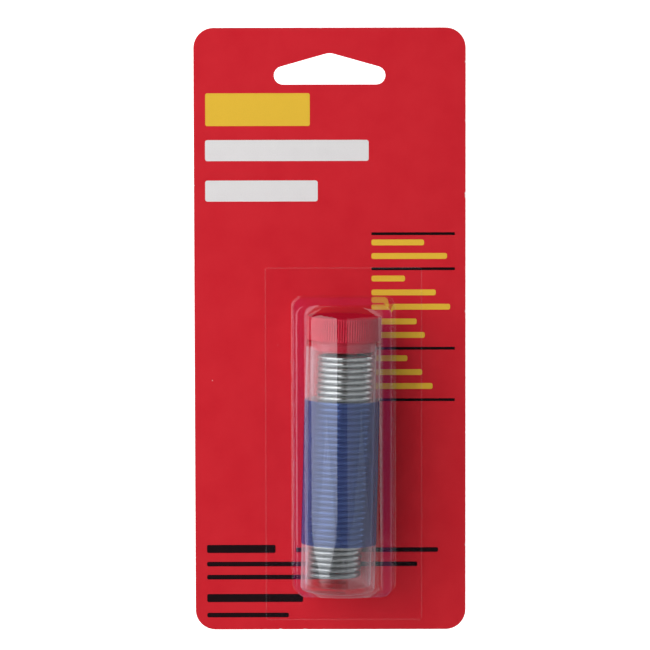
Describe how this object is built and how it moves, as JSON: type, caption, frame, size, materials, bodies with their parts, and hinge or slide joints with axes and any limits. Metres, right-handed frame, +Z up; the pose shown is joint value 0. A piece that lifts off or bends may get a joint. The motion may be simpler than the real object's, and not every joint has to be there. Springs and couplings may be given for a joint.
{
  "type": "carded solder wire dispenser tube",
  "caption": "Hang card with a clear blister holding a clear dispenser tube of close-wound solder wire, closed by a ribbed push-in cap.",
  "frame": {"origin": "peak of the hang hole, where a hook bears, in the middle of the card's thickness", "axes": "+Z up as the card hangs, -Y out of the printed front, +X to the right seen from the front"},
  "size_m": [0.0698, 0.0221, 0.1556],
  "materials": {
    "printed_board": "red coated paperboard, bare grey board behind",
    "clear_sheet": "clear thermoformed sheet",
    "clear_tube": "clear rigid plastic",
    "blue_film": "translucent blue film",
    "red_cap": "glossy moulded, fine upright ribs",
    "solder": "bright drawn tin alloy wire"
  },
  "bodies": {
    "card": {"backing_card": "printed_board"},
    "blister": {"blister": "clear_sheet"},
    "tube": {"dispenser_tube": "clear_tube", "label_band": "blue_film"},
    "cap": {"cap": "red_cap"},
    "coil": {"solder_coil": "solder"}
  },
  "joints": [
    {"name": "blister_peel", "type": "hinge", "parent": "card", "child": "blister", "pos_m": [0.00345, -0.00055, -0.1464], "axis": [1, 0, 0], "range_deg": [0, 110]},
    {"name": "tube_turn", "type": "hinge", "parent": "blister", "child": "tube", "pos_m": [0.00178, -0.01033, -0.13752], "axis": [0.0262, 0, 0.9997], "continuous": true},
    {"name": "cap_pull", "type": "slide", "parent": "tube", "child": "cap", "axis": [0.0262, 0, 0.9997], "range_m": [0, 0.0016]},
    {"name": "coil_slide", "type": "slide", "parent": "tube", "child": "coil", "axis": [0.0262, 0, 0.9997], "range_m": [-0.0012, 0]}
  ]
}
